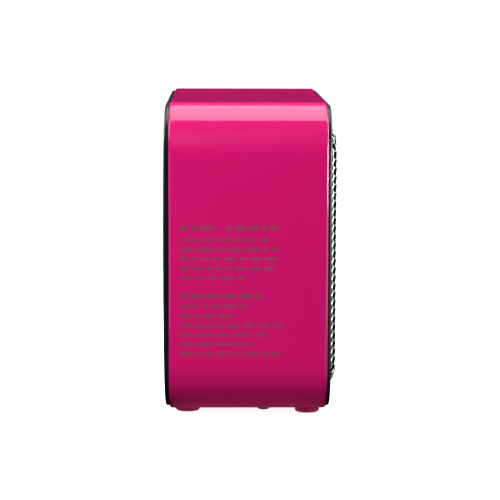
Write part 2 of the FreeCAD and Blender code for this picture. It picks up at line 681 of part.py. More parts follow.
def fan_blade(body):
    """A blade lofted from its root section, inside the hub, to a wider and flatter tip section."""
    sections = []
    half_depth = "(cup_front + cup_depth / 2)"
    for end in ("root", "tip"):
        sketch = sketch_on(body, "YZ_Plane", f"blade_{end}", turn=value(f"{end}_lean"))
        bind(sketch, "AttachmentOffset.Base.x", half_depth)
        draw_rectangle(sketch, f"{end}_chord", f"{end}_gauge")
        sections.append(sketch)
    loft = body.newObject("PartDesign::AdditiveLoft", "Blade")
    loft.Profile = sections[0]
    loft.Sections = sections[1:]
    doc.recompute()
    return loft


def fan_motor(name, side):
    """The pieces hidden in the hub: magnet ring and shaft turn, bearings and stator stand still."""
    place_at = at_fan(side)
    ring = new_body(f"{name}_magnet_ring", place_at)
    inner = "cup_radius - cup_wall - magnet_ring"
    round_pad(ring, BEARING_FRONT, ["cup_radius - cup_wall", inner], "magnet_ring_length")
    shaft = new_body(f"{name}_shaft", place_at)
    shaft_start = "(cup_front + shaft_set_in)"
    round_pad(shaft, shaft_start, ["shaft_radius"], f"fan_depth - shaft_end_gap - {shaft_start}")
    bearings = new_body(f"{name}_bearings", place_at)
    for y in (f"{BEARING_FRONT} + bearing_set_in", BEARING_REAR):
        round_pad(bearings, y, ["bearing_outer", "shaft_radius + shaft_clearance"], "bearing_gauge")
    stator = new_body(f"{name}_stator", place_at)
    stack_start = f"{BEARING_FRONT} + stator_set_in"
    round_pad(stator, stack_start, ["stator_radius", "bearing_tube"], "stator_stack")
    gap = front_sketch(stator, stack_start)
    draw_rectangle(gap, "stator_radius", "slot_width", "bearing_tube + slot_root + stator_radius / 2")
    slot = pocket(gap, "stator_stack")
    repeat(stator, [slot], "PolarPattern", "Y_Axis", Occurrences="slot_count")


def fan_guard(name, side):
    """Wire guard on the outlet: concentric rings on four diagonal legs, with an eye at each screw."""
    wires = []
    eye = value("fan_hole_spread")
    legs_end = math.hypot(eye, eye)
    for number in range(round(value("guard_rings"))):
        wires.append(ring_wire("GuardRing", f"guard_first + guard_step * {number}", Vector(0, 0, 0)))
    for quarter in range(4):
        angle = math.radians(45 + 90 * quarter)
        direction = Vector(math.cos(angle), 0, math.sin(angle))
        leg = doc.addObject("Part::Cylinder", "GuardLeg")
        bind(leg, "Radius", "guard_wire")
        bind(leg, "Height", "fan_hole_spread * sqrt(2) - guard_first - guard_eye - guard_leg_short")
        start = direction * value("guard_first") + Vector(0, value("guard_weld"), 0)
        leg.Placement = Placement(start, Rotation(Vector(0, 0, 1), direction))
        wires.append(leg)
        wires.append(ring_wire("GuardEye", "guard_eye", direction * legs_end))
    guard = keep(doc.addObject("Part::MultiFuse", f"{name}_guard"), f"{name}_guard")
    guard.Shapes = wires
    bind(guard, "Placement.Base.x", f"{side}fan_offset")
    bind(guard, "Placement.Base.y", f"{FAN_REAR} + guard_wire")
    bind(guard, "Placement.Base.z", MIDDLE)


def ring_wire(name, radius, centre):
    ring = doc.addObject("Part::Torus", name)
    bind(ring, "Radius1", radius)
    bind(ring, "Radius2", "guard_wire")
    ring.Placement = Placement(centre, Rotation(Vector(0, 0, 1), Vector(0, 1, 0)))
    return ring


def fans():
    for name, side in (("fan_left", "-"), ("fan_right", "+")):
        fan_frame(name, side)
        fan_rotor(name, side)
        fan_motor(name, side)
        fan_guard(name, side)


# ---------------------------------------------------------------- electrical pieces

def flange_outline(name):
    """The flange that holds the inlet or the switch against the tray."""
    return (f"{name}_width + 2 * {name}_flange", f"{name}_height + 2 * {name}_flange", f"{name}_corner")


def power_inlet():
    body = new_body("power_inlet", ("inlet_x", TRAY_FACE, "tray_z"))
    flange = front_sketch(body, "0")
    draw_rounded(flange, flange_outline("inlet"))
    pad(flange, "flange_height")
    shell = front_sketch(body, "0")
    draw_rectangle(shell, "inlet_width", "inlet_height")
    pad(shell, "inlet_length", way=-1)
    socket = front_sketch(body, "flange_height")
    draw_rounded(socket, ("socket_width", "socket_height", "socket_corner"))
    pocket(socket, "socket_depth", way=-1)
    pins = new_body("inlet_pins", ("inlet_x", TRAY_FACE, "tray_z"))
    places = [(f"{side}pin_spread", "0") for side in "-+"]
    round_pad(pins, "flange_height - socket_depth", ["pin_radius"], "pin_length", places)


def power_switch():
    body = new_body("switch_body", ("switch_x", TRAY_FACE, "tray_z"))
    flange = front_sketch(body, "0")
    draw_rounded(flange, flange_outline("switch"))
    pad(flange, "flange_height")
    shell = front_sketch(body, "0")
    draw_rectangle(shell, "switch_width", "switch_height")
    pad(shell, "switch_length", way=-1)
    cavity = front_sketch(body, "flange_height")
    draw_rectangle(cavity, "rocker_width + 2 * rocker_clear", "switch_height - 2 * switch_wall")
    pocket(cavity, "switch_cavity", way=-1)
    bore = sketch_on(body, "YZ_Plane", "-switch_width / 2")
    draw_circle(bore, "pivot_radius + slip", f"-{ROCKER_SET_BACK}", "0")
    pocket(bore, "switch_width")


def switch_rocker():
    """Shallow V seen from the side, tipped to its off position, with its pivot pin at the body's origin."""
    body = new_body("switch_rocker", ("switch_x", ROCKER_PIVOT, "tray_z"))
    key = sketch_on(body, "YZ_Plane", "-rocker_width / 2", turn=-value("rocker_tilt"))
    half = "rocker_length / 2"
    foot = f"{half} - rocker_taper"
    draw_polygon(key, [("-rocker_back", f"-({foot})"), ("rocker_rise", f"-{half}"), ("rocker_dip", "0"),
                       ("rocker_rise", half), ("-rocker_back", foot)])
    pad(key, "rocker_width")
    pin = sketch_on(body, "YZ_Plane", "-rocker_width / 2 - pivot_reach")
    draw_circle(pin, "pivot_radius")
    pad(pin, "rocker_width + 2 * pivot_reach")


def power_board():
    body = new_body("power_board")
    plate = plan_sketch(body, BOARD_UNDER)
    draw_rectangle(plate, "board_width", "board_depth", "0", "board_y")
    for x, y in board_corners():
        draw_circle(plate, "board_hole", x, y)
    pad(plate, "board_gauge")
    standoffs = new_body("board_standoffs")
    feet_plan = plan_sketch(standoffs, FLOOR)
    for x, y in board_corners():
        draw_circle(feet_plan, "standoff_radius", x, y)
    pad(feet_plan, "board_lift")
    stub_plan = plan_sketch(standoffs, BOARD_UNDER)
    for x, y in board_corners():
        draw_circle(stub_plan, "board_hole", x, y)
    pad(stub_plan, "board_gauge + stub_proud")


def board_corners():
    return four("board_width / 2 - board_margin", "board_depth / 2 - board_margin", "0", "board_y")


def transformer():
    body = new_body("board_transformer")
    core = plan_sketch(body, BOARD_TOP)
    draw_rounded(core, ("core_width", "core_depth", "core_corner"), "core_x", "board_y")
    pad(core, "core_height")
    coil = plan_sketch(body, f"{BOARD_TOP} + coil_lift")
    draw_rounded(coil, ("coil_width", "coil_depth", "coil_corner"), "core_x", "board_y")
    pad(coil, "coil_height")


def capacitors():
    body = new_body("board_capacitors")
    cans = plan_sketch(body, BOARD_TOP)
    draw_circle(cans, "can_radius", "can_x", "board_y + can_ahead")
    draw_circle(cans, "can_radius", "can_x", "board_y - can_back")
    draw_circle(cans, "small_can_radius", "small_can_x", "board_y + small_can_y")
    pad(cans, "can_height")


def heat_sink():
    body = new_body("board_heatsink")
    plate = plan_sketch(body, BOARD_TOP)
    draw_rectangle(plate, "sink_gauge", "sink_length", "sink_x", "board_y")
    pad(plate, "sink_height")
    fin = plan_sketch(body, BOARD_TOP)
    draw_rectangle(fin, "fin_length", "fin_gauge", "sink_x - sink_gauge / 2 - fin_length / 2 + overlap",
                   "board_y - fin_run / 2")
    first = pad(fin, "sink_height")
    repeat(body, [first], "LinearPattern", "Y_Axis", Length="fin_run", Occurrences="fin_count")


def terminals():
    body = new_body("board_terminals")
    blocks = plan_sketch(body, BOARD_TOP)
    for side in "-+":
        middle = (f"{side}terminal_x", "board_y - terminal_back")
        draw_rectangle(blocks, "terminal_width", "terminal_length", *middle)
    pad(blocks, "terminal_height")


def lead(points):
    """A round lead along straight runs joined by tangent arcs."""
    corners = []
    for before, corner, after in zip(points, points[1:], points[2:]):
        shorter = min(before.distanceToPoint(corner), after.distanceToPoint(corner))
        back = (before - corner).normalize()
        ahead = (after - corner).normalize()
        reach = 0.45 * shorter
        middle_way = (back + ahead).normalize()
        half_angle = back.getAngle(ahead) / 2
        arc_radius = reach * math.tan(half_angle)
        centre = corner + middle_way * (reach / math.cos(half_angle))
        corners.append((corner + back * reach, centre - middle_way * arc_radius, corner + ahead * reach))
    edges = []
    at = points[0]
    for start, middle, end in corners:
        edges.append(Part.LineSegment(at, start).toShape())
        edges.append(Part.Arc(start, middle, end).toShape())
        at = end
    edges.append(Part.LineSegment(at, points[-1]).toShape())
    section = Part.Wire([Part.Circle(points[0], points[1] - points[0], value("lead_radius")).toShape()])
    return Part.Wire(edges).makePipeShell([section], True, True)


def fan_leads():
    """Two strands from the lower rear corner of each fan down to the terminal block on its side."""
    gap, drop = value("lead_gap"), Vector(0, 0, value("lead_drop"))
    strands = []
    for side in "-+":
        start = Vector(value(f"{side}fan_offset"), value(f"{FAN_REAR} - fan_lead_set_in"),
                       value(f"{MIDDLE} - fan_size / 2"))
        end = terminal_top(side, "lead_in")
        for shift in (Vector(-gap, 0, 0), Vector(gap, 0, 0)):
            strands.append(lead([start + shift, start + shift - drop, end + shift + drop, end + shift]))
    keep_leads("fan_leads", strands)


def mains_leads():
    """Live and neutral: inlet to terminal, inlet to switch, and switch to terminal."""
    inlet = Vector(value("inlet_x"), value(f"{TRAY_FACE} - inlet_length"), value("tray_z"))
    switch = Vector(value("switch_x"), value(f"{TRAY_FACE} - switch_length"), value("tray_z"))
    tab = Vector(value("inlet_tab_x"), 0, 0)
    contact = Vector(-value("switch_tab_x"), 0, value("switch_tab_z"))
    terminal = terminal_top("+", "-lead_in")
    strand = Vector(0, value("mains_strand"), 0)
    run, long_run = [Vector(0, -value(name), 0) for name in ("lead_run", "long_lead_run")]
    drop = Vector(0, 0, value("lead_drop"))
    routes = (
        (inlet - tab, run, terminal + strand, drop),
        (inlet + tab, run, switch + contact, run),
        (switch - contact, long_run, terminal - strand, drop),
    )
    strands = [lead([start, start + out, end + back, end]) for start, out, end, back in routes]
    keep_leads("mains_leads", strands)


def terminal_top(side, inset):
    """Where a lead enters a terminal block: on its top, `inset` from its middle towards the board's."""
    return Vector(value(f"{side}(terminal_x - ({inset}))"), value("board_y - terminal_back"),
                  value(f"{BOARD_TOP} + terminal_height"))


def keep_leads(label, strands):
    group = keep(doc.addObject("Part::Feature", label), label)
    group.Shape = Part.makeCompound(strands)


# ---------------------------------------------------------------- fasteners

def screws(label, seat, places, reach="screw_reach"):
    """Pan-head screws driven towards the intake: the heads stand on the plane `seat` and face the back."""
    body = new_body(label)
    round_pad(body, seat, ["screw_head"], "screw_head_height", places)
    round_pad(body, seat, ["screw_shank"], reach, places, way=-1)
    crown = f"{seat} + screw_head_height"
    round_pocket(body, crown, "screw_recess", "screw_head_height / 2", places, way=-1)


def base_screws():
    body = new_body("base_screws")
    heads = plan_sketch(body, "foot_height")
    shanks = plan_sketch(body, "foot_height")
    recesses = plan_sketch(body, "foot_height - base_head_height")
    for x in base_screw_xs():
        draw_circle(heads, "base_head_radius", x, "base_screw_y")
        draw_circle(shanks, "base_shank", x, "base_screw_y")
        draw_circle(recesses, "base_recess", x, "base_screw_y")
    pad(heads, "base_head_height", way=-1)
    low = value("foot_height - base_head_height")
    fillet(body, "base_head_round", lambda point: abs(point.z - low) < NEAR)
    pad(shanks, "band_wall + lug_gauge")
    pocket(recesses, "base_head_height / 2")


def fasteners():
    base_screws()
    screws("fan_screws", f"({FAN_REAR} + 2 * guard_wire)", fan_screw_places(),
           reach="fan_depth + 2 * guard_wire + bulkhead_gauge")
    screws("bezel_screws", FAN_FRONT, four("boss_x", "boss_z"))
    screws("rear_screws", REAR_SCREW_SEAT, four("post_x", "post_z"))


# ---------------------------------------------------------------- checks and files

def check_document():
    for item in doc.Objects:
        if "Invalid" in item.State or "Error" in item.State:
            raise RuntimeError(f"{item.Name} ({item.Label}) did not recompute: {item.State}")
    for item in doc.Objects:
        if item.TypeId in ("PartDesign::Pocket", "PartDesign::SubtractiveLoft"):
            removed = item.BaseFeature.Shape.Volume - item.Shape.Volume
            if removed < NEAR:
                raise RuntimeError(f"{item.Name} cut nothing")
    for piece in subparts:
        if piece.Shape.isNull() or not piece.Shape.isValid():
            raise RuntimeError(f"{piece.Label} has no valid shape")


def write_files():
    os.makedirs("parts", exist_ok=True)
    for piece in subparts:
        piece.Shape.exportStep(os.path.join("parts", f"{piece.Label}.step"))
        print(f"{piece.Label}: {len(piece.Shape.Solids)} solids, {piece.Shape.Volume:.0f} mm3")


def main():
    fill_sheet()
    for build in (housing_band, front_bezel, grille_magnets, grille_frame, grille_mesh, filter_frame,
                  filter_media, filter_gasket, filter_grip, fan_bulkhead, rear_posts, fans, rear_panel,
                  power_inlet, power_switch, switch_rocker, power_board, transformer, capacitors, heat_sink,
                  terminals, fan_leads, mains_leads, feet, fasteners):
        build()
    doc.recompute()
    check_document()
    write_files()


main()
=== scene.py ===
"""Looks of a desktop nail dust collector: glossy magenta shell, black end caps and a silver honeycomb grille.

Metres, in the part's own frame: +X to the side, -Y towards the intake, +Z up, origin on the table.
"""

import json
import math
import random

import bmesh
import bpy
from mathutils import Matrix, Vector


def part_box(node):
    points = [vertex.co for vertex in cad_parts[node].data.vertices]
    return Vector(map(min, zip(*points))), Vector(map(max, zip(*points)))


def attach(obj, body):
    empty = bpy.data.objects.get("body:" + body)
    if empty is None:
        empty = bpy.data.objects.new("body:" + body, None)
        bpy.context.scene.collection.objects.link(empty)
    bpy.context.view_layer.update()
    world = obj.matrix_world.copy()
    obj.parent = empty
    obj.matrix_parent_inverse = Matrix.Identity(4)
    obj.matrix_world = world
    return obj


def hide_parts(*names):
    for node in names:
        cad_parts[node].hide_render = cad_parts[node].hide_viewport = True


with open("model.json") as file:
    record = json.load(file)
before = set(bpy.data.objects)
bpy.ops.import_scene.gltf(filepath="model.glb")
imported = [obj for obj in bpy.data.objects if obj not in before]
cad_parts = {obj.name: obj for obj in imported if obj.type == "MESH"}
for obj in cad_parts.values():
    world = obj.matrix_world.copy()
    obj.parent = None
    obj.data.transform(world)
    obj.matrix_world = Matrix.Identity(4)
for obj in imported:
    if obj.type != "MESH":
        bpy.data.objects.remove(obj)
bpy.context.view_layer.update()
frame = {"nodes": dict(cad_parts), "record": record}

MM = 0.001
UP = Vector((0, 0, 1))
NOISE_SPAN = (0.3, 0.7)

BAND_LOW, BAND_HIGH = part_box("housing_band")
GRILLE_LOW, GRILLE_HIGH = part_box("grille_mesh")
BEZEL_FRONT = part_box("front_bezel")[0].y
BAND_MIDDLE = (BAND_LOW + BAND_HIGH) / 2
BAND_SIZE = BAND_HIGH - BAND_LOW
BAND_CORNER = 37.5 * MM
BAND_WALL = 3 * MM
BAND_FILLET = 2.0 * MM
GRILLE_CORNER = 20 * MM
CORNER_STEPS = 24
MERGE = 0.001 * MM


# ---------------------------------------------------------------- materials

def shader_tree(name):
    """A new material with an empty tree that holds only a Principled shader and the output."""
    material = bpy.data.materials.new(name)
    material.use_nodes = True
    tree = material.node_tree
    tree.nodes.clear()
    output = tree.nodes.new("ShaderNodeOutputMaterial")
    shader = tree.nodes.new("ShaderNodeBsdfPrincipled")
    tree.links.new(shader.outputs["BSDF"], output.inputs["Surface"])
    return material, tree, shader


def noise(tree, scale, detail=4.0, stretch=(1, 1, 1)):
    """Noise in the object's own coordinates, `scale` grains to the metre."""
    place = tree.nodes.new("ShaderNodeTexCoord")
    mapping = tree.nodes.new("ShaderNodeMapping")
    mapping.inputs["Scale"].default_value = stretch
    texture = tree.nodes.new("ShaderNodeTexNoise")
    texture.inputs["Scale"].default_value = scale
    texture.inputs["Detail"].default_value = detail
    tree.links.new(place.outputs["Object"], mapping.inputs["Vector"])
    tree.links.new(mapping.outputs["Vector"], texture.inputs["Vector"])
    return texture.outputs["Fac"]


def between(tree, factor, low, high):
    """Spread the middle of the noise, where most of it lies, over low-high."""
    spread = tree.nodes.new("ShaderNodeMapRange")
    spread.inputs["From Min"].default_value = NOISE_SPAN[0]
    spread.inputs["From Max"].default_value = NOISE_SPAN[1]
    spread.inputs["To Min"].default_value = low
    spread.inputs["To Max"].default_value = high
    tree.links.new(factor, spread.inputs["Value"])
    return spread.outputs["Result"]


def two_tone(tree, factor, first, second):
    """A colour that goes from the first tone to the second."""
    mix = tree.nodes.new("ShaderNodeMix")
    mix.data_type = "RGBA"
    mix.inputs["A"].default_value = (*first, 1)
    mix.inputs["B"].default_value = (*second, 1)
    tree.links.new(factor, mix.inputs["Factor"])
    return mix.outputs["Result"]


def add_bump(tree, shader, height, distance, strength=1.0):
    """Relief of the given depth in metres."""
    bump = tree.nodes.new("ShaderNodeBump")
    bump.inputs["Distance"].default_value = distance
    bump.inputs["Strength"].default_value = strength
    tree.links.new(height, bump.inputs["Height"])
    tree.links.new(bump.outputs["Normal"], shader.inputs["Normal"])


def moulded(name, first, second, roughness, grain, depth, specular, metallic):
    """Moulded, cast or plated stuff: two close tones, uneven gloss and a fine grain."""
    material, tree, shader = shader_tree(name)
    shader.inputs["Metallic"].default_value = metallic
    shader.inputs["Specular IOR Level"].default_value = specular
    cloud = between(tree, noise(tree, 14), 0, 1)
    tree.links.new(two_tone(tree, cloud, first, second), shader.inputs["Base Color"])
    smudge = between(tree, noise(tree, 45, 6), *roughness)
    tree.links.new(smudge, shader.inputs["Roughness"])
    add_bump(tree, shader, noise(tree, grain, 3), depth * MM)
    return material


def brushed(name, first, second, stretch):
    """Metal with fine lines along one direction, the short one of `stretch`."""
    roughness, line_depth = (0.24, 0.38), 0.01 * MM
    material, tree, shader = shader_tree(name)
    shader.inputs["Metallic"].default_value = 1.0
    lines = noise(tree, 900, 3, stretch)
    tree.links.new(two_tone(tree, between(tree, lines, 0, 1), first, second), shader.inputs["Base Color"])
    tree.links.new(between(tree, lines, *roughness), shader.inputs["Roughness"])
    add_bump(tree, shader, lines, line_depth)
    return material


def gloss_shell():
    """Polished magenta shell: deep colour, a faint ripple of the mould and light wiping marks."""
    material, tree, shader = shader_tree("gloss_shell")
    cloud = between(tree, noise(tree, 9), 0, 1)
    tone = two_tone(tree, cloud, (0.585, 0.0068, 0.138), (0.565, 0.0062, 0.132))
    tree.links.new(tone, shader.inputs["Base Color"])
    shader.inputs["Specular IOR Level"].default_value = 0.40
    smudge = between(tree, noise(tree, 60, 7), 0.055, 0.085)
    tree.links.new(smudge, shader.inputs["Roughness"])
    add_bump(tree, shader, noise(tree, 120, 2), 0.012 * MM, 0.5)
    return material


def filter_paper():
    """Charcoal non-woven: crossed fibres, no gloss."""
    material, tree, shader = shader_tree("filter_paper")
    fibres = noise(tree, 1500, 6, (1, 1, 0.15))
    across = noise(tree, 1800, 6, (0.2, 1, 1))
    weave = tree.nodes.new("ShaderNodeMath")
    weave.operation = "MULTIPLY"
    tree.links.new(fibres, weave.inputs[0])
    tree.links.new(across, weave.inputs[1])
    spread = between(tree, weave.outputs[0], -0.3, 1)
    tone = two_tone(tree, spread, (0.006, 0.006, 0.007), (0.030, 0.030, 0.032))
    tree.links.new(tone, shader.inputs["Base Color"])
    shader.inputs["Roughness"].default_value = 0.95
    shader.inputs["Specular IOR Level"].default_value = 0.2
    add_bump(tree, shader, weave.outputs[0], 0.15 * MM)
    return material


def circuit_board():
    """Green solder mask over faint copper tracks."""
    material, tree, shader = shader_tree("circuit_board")
    tracks = tree.nodes.new("ShaderNodeTexBrick")
    tracks.inputs["Scale"].default_value = 120
    tracks.inputs["Mortar Size"].default_value = 0.03
    tracks.inputs["Color1"].default_value = (0.010, 0.110, 0.040, 1)
    tracks.inputs["Color2"].default_value = (0.008, 0.090, 0.034, 1)
    tracks.inputs["Mortar"].default_value = (0.060, 0.220, 0.070, 1)
    place = tree.nodes.new("ShaderNodeTexCoord")
    tree.links.new(place.outputs["Object"], tracks.inputs["Vector"])
    tree.links.new(tracks.outputs["Color"], shader.inputs["Base Color"])
    shader.inputs["Roughness"].default_value = 0.35
    add_bump(tree, shader, tracks.outputs["Fac"], 0.03 * MM)
    return material


# First and second tone, range of roughness, grains to the metre, depth of the grain in mm, specular level and
# metalness.
MOULDED_LOOKS = {
    "cap_black": ((0.0065, 0.0068, 0.0080), (0.0045, 0.0048, 0.0058), (0.24, 0.34), 2600, 0.02, 0.30, 0),
    "frame_black": ((0.010, 0.010, 0.011), (0.007, 0.007, 0.008), (0.38, 0.52), 1900, 0.04, 0.35, 0),
    "grille_silver": ((0.46, 0.47, 0.49), (0.40, 0.41, 0.43), (0.25, 0.35), 1400, 0.015, 0.5, 1),
    "inner_black": ((0.012, 0.012, 0.013), (0.008, 0.008, 0.009), (0.42, 0.58), 3200, 0.05, 0.35, 0),
    "filter_rail": ((0.016, 0.016, 0.018), (0.011, 0.011, 0.012), (0.45, 0.60), 3000, 0.05, 0.35, 0),
    "seal_rubber": ((0.014, 0.014, 0.014), (0.009, 0.009, 0.009), (0.70, 0.85), 4000, 0.08, 0.25, 0),
    "foot_magenta": ((0.600, 0.010, 0.135), (0.540, 0.008, 0.120), (0.30, 0.42), 2400, 0.03, 0.28, 0),
    "screw_chrome": ((0.80, 0.80, 0.80), (0.70, 0.71, 0.71), (0.28, 0.40), 1200, 0.01, 0.5, 1),
    "magnet": ((0.30, 0.30, 0.31), (0.22, 0.22, 0.23), (0.35, 0.5), 1800, 0.03, 0.5, 1),
    "transformer_tape": ((0.62, 0.50, 0.10), (0.52, 0.41, 0.08), (0.30, 0.42), 700, 0.04, 0.5, 0),
    "capacitor_sleeve": ((0.010, 0.014, 0.060), (0.008, 0.010, 0.045), (0.2, 0.3), 900, 0.02, 0.5, 0),
    "terminal_green": ((0.012, 0.180, 0.040), (0.010, 0.140, 0.030), (0.35, 0.45), 2200, 0.03, 0.5, 0),
    "lead_sleeve": ((0.012, 0.012, 0.012), (0.008, 0.008, 0.008), (0.40, 0.50), 2600, 0.02, 0.5, 0),
    "print_ink": ((0.330, 0.032, 0.100), (0.290, 0.028, 0.090), (0.30, 0.40), 3000, 0.01, 0.35, 0),
}

# First and second tone, and the stretch of the brushed lines.
BRUSHED_LOOKS = {
    "steel": ((0.46, 0.47, 0.49), (0.60, 0.61, 0.63), (1, 0.08, 1)),
    "windings": ((0.62, 0.24, 0.09), (0.40, 0.13, 0.05), (0.1, 1, 1)),
    "heat_sink": ((0.60, 0.61, 0.62), (0.72, 0.73, 0.74), (1, 1, 0.08)),
    "contact_brass": ((0.80, 0.56, 0.22), (0.66, 0.44, 0.16), (1, 0.1, 1)),
}


def make_materials():
    """A material for every slot of the record, and one for the print."""
    materials = {"band_gloss": gloss_shell(), "filter_paper": filter_paper(), "board_green": circuit_board()}
    materials |= {name: moulded(name, *look) for name, look in MOULDED_LOOKS.items()}
    materials |= {name: brushed(name, *look) for name, look in BRUSHED_LOOKS.items()}
    return materials


# ---------------------------------------------------------------- mesh helpers

def new_piece(name, vertices, faces, material, body, replaces=(), *, sharp):
    """A mesh piece in its place, shaded smooth up to the sharp angle, riding on a body."""
    mesh = bpy.data.meshes.new(name)
    mesh.from_pydata([tuple(vertex) for vertex in vertices], [], faces)
    return finish_piece(name, mesh, material, body, replaces, sharp=sharp)


def finish_piece(name, mesh, material, body, replaces, *, sharp):
    """Turn a mesh's faces outwards, shade it and let it ride on its body."""
    mesh.validate()
    work = bmesh.new()
    work.from_mesh(mesh)
    bmesh.ops.recalc_face_normals(work, faces=work.faces)
    work.to_mesh(mesh)
    work.free()
    piece = bpy.data.objects.new(name, mesh)
    bpy.context.scene.collection.objects.link(piece)
    mesh.materials.append(material)
    shade(piece, sharp)
    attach(piece, body)
    if replaces:
        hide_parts(*replaces)
    return piece


def shade(piece, sharp):
    """Smooth shading that breaks at sharp edges and keeps the large faces flat."""
    mesh = piece.data
    mesh.shade_smooth()
    mesh.set_sharp_from_angle(angle=math.radians(sharp))
    weighted = piece.modifiers.new("weighted", "WEIGHTED_NORMAL")
    weighted.keep_sharp = True
    weighted.weight = 80


def rounded_ring(width, height, corner, y, middle, steps=CORNER_STEPS):
    """Points round a rounded rectangle that faces -Y, the same number whatever its size."""
    points = []
    for quarter, (side_x, side_z) in enumerate(((1, 1), (-1, 1), (-1, -1), (1, -1))):
        centre_x = middle.x + side_x * (width / 2 - corner)
        centre_z = middle.z + side_z * (height / 2 - corner)
        for step in range(steps + 1):
            angle = math.radians(90 * quarter + 90 * step / steps)
            x, z = centre_x + corner * math.cos(angle), centre_z + corner * math.sin(angle)
            points.append(Vector((x, y, z)))
    return points


def skin(rings):
    """Join rings of equal length with quads, and the last ring to the first."""
    count = len(rings[0])
    vertices = [point for ring in rings for point in ring]
    faces = []
    for index in range(len(rings)):
        here, there = index * count, ((index + 1) % len(rings)) * count
        for step in range(count):
            after = (step + 1) % count
            faces.append((here + step, here + after, there + after, there + step))
    return vertices, faces


def quarter_arc(radius, steps, start):
    """(outwards, along) offsets of a quarter circle, from the start angle in degrees."""
    return [(radius * math.cos(math.radians(start + 90 * step / steps)),
             radius * math.sin(math.radians(start + 90 * step / steps))) for step in range(steps + 1)]


def lathe(profile, centre, axis=UP, steps=64):
    """Turn (radius, height) pairs about an axis through the centre, and close both ends."""
    turn = axis.normalized().to_track_quat("Z", "Y")
    vertices, faces = [], []
    for radius, height in profile:
        for step in range(steps):
            angle = 2 * math.pi * step / steps
            local = Vector((radius * math.cos(angle), radius * math.sin(angle), height))
            vertices.append(centre + turn @ local)
    for row in range(len(profile) - 1):
        for step in range(steps):
            after = (step + 1) % steps
            here, there = row * steps, (row + 1) * steps
            faces.append((here + step, here + after, there + after, there + step))
    faces.append(tuple(range(steps)))
    faces.append(tuple((len(profile) - 1) * steps + step for step in range(steps)))
    return vertices, faces


# ---------------------------------------------------------------- magenta shell and its print

def band_shell(material):
    """The wrap-around shell, with a rounded lip at both ends."""
    def ring(inset, y):
        width, height = BAND_SIZE.x - 2 * inset, BAND_SIZE.z - 2 * inset
        return rounded_ring(width, height, BAND_CORNER - inset, y, BAND_MIDDLE)

    lip = quarter_arc(BAND_FILLET, 6, 0)
    rings = []
    for outwards, along in lip:
        rings.append(ring(BAND_FILLET - outwards, BAND_HIGH.y - BAND_FILLET + along))
    rings.append(ring(BAND_WALL, BAND_HIGH.y))
    rings.append(ring(BAND_WALL, BAND_LOW.y))
    for outwards, along in reversed(lip):
        rings.append(ring(BAND_FILLET - outwards, BAND_LOW.y + BAND_FILLET - along))
    vertices, faces = skin(rings)
    new_piece("band_shell", vertices, faces, material, "housing", ["housing_band"], sharp=50)


def printed_bars(material):
    """Two blocks of plain bars in place of small print, low on the flank towards the back."""
    rng = random.Random(7)
    proud, margin = 0.02 * MM, 8 * MM
    heading, small, pitch = 3.9, 2.4, 6.9
    word_gap, run_gap, stub = 1.6, 7, 3
    shortest, longest = 4, 13
    # Height of the heading, gap below it and the lengths of each row's runs, all in mm.
    blocks = [(141.3, 8.5, [(26, 37), (66,), (71,), (71.5,), (69.5,), (47,)]),
              (92.2, 7.5, [(59,), (51,), (43,), (77.5,), (63,), (52,), (73,)])]
    flank_x, left = BAND_LOW.x - proud, BAND_HIGH.y - margin
    vertices, faces = [], []
    for top, heading_gap, rows in blocks:
        for row, runs in enumerate(rows):
            height = (top - heading_gap - (row - 1) * pitch if row else top) * MM
            tall = (small if row else heading) * MM
            start = 0.0
            for run in runs:
                at = start
                while at < start + run - stub:
                    word = min(rng.uniform(shortest, longest), start + run - at)
                    add_bar(vertices, faces, flank_x, left - at * MM, height, word * MM, tall)
                    at += word + word_gap
                start += run + run_gap
    new_piece("printed_bars", vertices, faces, material, "housing", sharp=60)


def add_bar(vertices, faces, x, y, z, length, tall):
    """A thin closed bar with rounded corners on the flank, running from y towards the front."""
    radius, gauge, steps = tall * 0.35, 0.03 * MM, 4
    back, front = y - radius, y - length + radius
    upper, lower = z + tall / 2 - radius, z - tall / 2 + radius
    outline = []
    corners = ((back, upper, 0), (back, lower, 270), (front, lower, 180), (front, upper, 90))
    for centre_y, centre_z, start in corners:
        for step in range(steps, -1, -1):
            angle = math.radians(start + 90 / steps * step)
            along, up = radius * math.cos(angle), radius * math.sin(angle)
            outline.append(Vector((x, centre_y + along, centre_z + up)))
    first, count = len(vertices), len(outline)
    vertices.extend(outline)
    vertices.extend(point + Vector((gauge, 0, 0)) for point in outline)
    faces.append(tuple(range(first, first + count)))
    faces.append(tuple(reversed(range(first + count, first + 2 * count))))
    for step in range(count):
        after = (step + 1) % count
        faces.append((first + step, first + count + step, first + count + after, first + after))


# ---------------------------------------------------------------- grille

def clip_to_outline(polygon, outline):
    """The part of a convex polygon inside a convex outline, both anticlockwise lists of (x, z)."""
    inside = polygon
    for number, start in enumerate(outline):
        end = outline[(number + 1) % len(outline)]
        edge = (end[0] - start[0], end[1] - start[1])

        def side(point):
            return edge[0] * (point[1] - start[1]) - edge[1] * (point[0] - start[0])

        kept = []
        for index, point in enumerate(inside):
            before = inside[index - 1]
            here, there = side(point), side(before)
            if (here >= 0) != (there >= 0):
                share = there / (there - here)
                kept.append(tuple(past + (now - past) * share for past, now in zip(before, point)))
            if here >= 0:
                kept.append(point)
        inside = kept
        if len(inside) < 3:
            return []
    return inside


def grille_inset(x, z, size):
    """Distance inwards from the grille's outline, for a point measured from its middle."""
    past_x = abs(x) - (size.x / 2 - GRILLE_CORNER)
    past_z = abs(z) - (size.z / 2 - GRILLE_CORNER)
    if past_x > 0 and past_z > 0:
        return GRILLE_CORNER - math.hypot(past_x, past_z)
    return GRILLE_CORNER - max(past_x, past_z)


